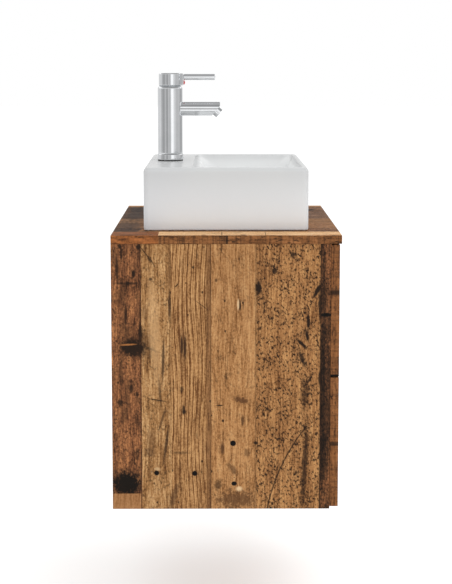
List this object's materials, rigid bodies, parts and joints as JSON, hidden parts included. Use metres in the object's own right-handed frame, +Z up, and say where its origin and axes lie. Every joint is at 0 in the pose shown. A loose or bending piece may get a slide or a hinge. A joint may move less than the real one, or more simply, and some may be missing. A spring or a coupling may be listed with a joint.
{
  "type": "vessel sink on vanity",
  "caption": "Wall-hung vanity with plank-look boards, pull-out drawers on telescopic runners, a white rectangular vessel basin and a single-lever chrome tap.",
  "frame": {"origin": "centre of the footprint at the cabinet's underside", "axes": "+X to the right as the user faces the drawer fronts, which face -Y; the wall plane is at +Y, +Z up"},
  "size_m": [0.52, 0.41, 0.7815],
  "materials": {
    "plank_wood": "matt plank print on board",
    "drawer_wood": "satin",
    "ceramic": "gloss white glaze",
    "chrome": "polished",
    "zinc_steel": "zinc plated",
    "brass": "machined",
    "rubber": "matt",
    "plastic": "moulded",
    "index_mark": "gloss"
  },
  "bodies": {
    "cabinet": {"top_panel": "plank_wood", "side_panel_left": "plank_wood", "side_panel_right": "plank_wood", "bottom_panel": "plank_wood", "back_rail_upper": "drawer_wood", "back_rail_lower": "drawer_wood", "hanger_left": "zinc_steel", "hanger_right": "zinc_steel", "upper_runner_left_outer": "zinc_steel", "upper_runner_right_outer": "zinc_steel", "lower_runner_left_outer": "zinc_steel", "lower_runner_right_outer": "zinc_steel", "basin": "ceramic", "waste_flange": "chrome", "waste_tail": "chrome", "waste_gasket": "rubber", "waste_nut": "brass", "trap_inlet": "chrome", "trap_body": "chrome", "trap_cup": "chrome", "trap_outlet": "chrome", "trap_rosette": "chrome", "tap_gasket": "rubber", "tap_base": "chrome", "tap_body": "chrome", "tap_spout": "chrome", "tap_aerator": "chrome", "tap_cartridge": "plastic", "tap_cartridge_nut": "brass", "tap_stud": "zinc_steel", "tap_washer": "zinc_steel", "tap_nut": "brass", "tap_inlet_left": "zinc_steel", "tap_inlet_right": "zinc_steel"},
    "upper_drawer": {"upper_front": "plank_wood", "upper_side_left": "drawer_wood", "upper_side_right": "drawer_wood", "upper_back_left": "drawer_wood", "upper_back_right": "drawer_wood", "upper_bottom": "drawer_wood", "upper_notch_liner": "plastic", "upper_runner_left_inner": "zinc_steel", "upper_runner_right_inner": "zinc_steel"},
    "lower_drawer": {"lower_front": "plank_wood", "lower_side_left": "drawer_wood", "lower_side_right": "drawer_wood", "lower_back": "drawer_wood", "lower_bottom": "drawer_wood", "lower_runner_left_inner": "zinc_steel", "lower_runner_right_inner": "zinc_steel"},
    "upper_runner_middles": {"upper_runner_left_middle": "zinc_steel", "upper_runner_right_middle": "zinc_steel"},
    "lower_runner_middles": {"lower_runner_left_middle": "zinc_steel", "lower_runner_right_middle": "zinc_steel"},
    "waste_plug": {"waste_plug": "chrome"},
    "tap_handle": {"tap_cap": "chrome"},
    "tap_lever": {"tap_lever_carrier": "chrome", "tap_lever_rod": "chrome", "tap_index": "index_mark"}
  },
  "joints": [
    {"name": "upper_drawer_slide", "type": "slide", "parent": "cabinet", "child": "upper_drawer", "axis": [0, -1, 0], "range_m": [0, 0.25]},
    {"name": "lower_drawer_slide", "type": "slide", "parent": "cabinet", "child": "lower_drawer", "axis": [0, -1, 0], "range_m": [0, 0.25]},
    {"name": "upper_runner_slide", "type": "slide", "parent": "cabinet", "child": "upper_runner_middles", "axis": [0, -1, 0], "range_m": [0, 0.125]},
    {"name": "lower_runner_slide", "type": "slide", "parent": "cabinet", "child": "lower_runner_middles", "axis": [0, -1, 0], "range_m": [0, 0.125]},
    {"name": "waste_plug_lift", "type": "slide", "parent": "cabinet", "child": "waste_plug", "axis": [0, 0, 1], "range_m": [0, 0.007]},
    {"name": "tap_swivel", "type": "hinge", "parent": "cabinet", "child": "tap_handle", "pos_m": [0, 0.1069, 0.7585], "axis": [0, 0, 1], "range_deg": [-45, 45]},
    {"name": "tap_lift", "type": "hinge", "parent": "tap_handle", "child": "tap_lever", "pos_m": [0, 0.1069, 0.7705], "axis": [-1, 0, 0], "range_deg": [0, 22]}
  ],
  "couplings": [
    {"joint": "upper_runner_slide", "follows": "upper_drawer_slide", "ratio": 0.5},
    {"joint": "lower_runner_slide", "follows": "lower_drawer_slide", "ratio": 0.5}
  ]
}
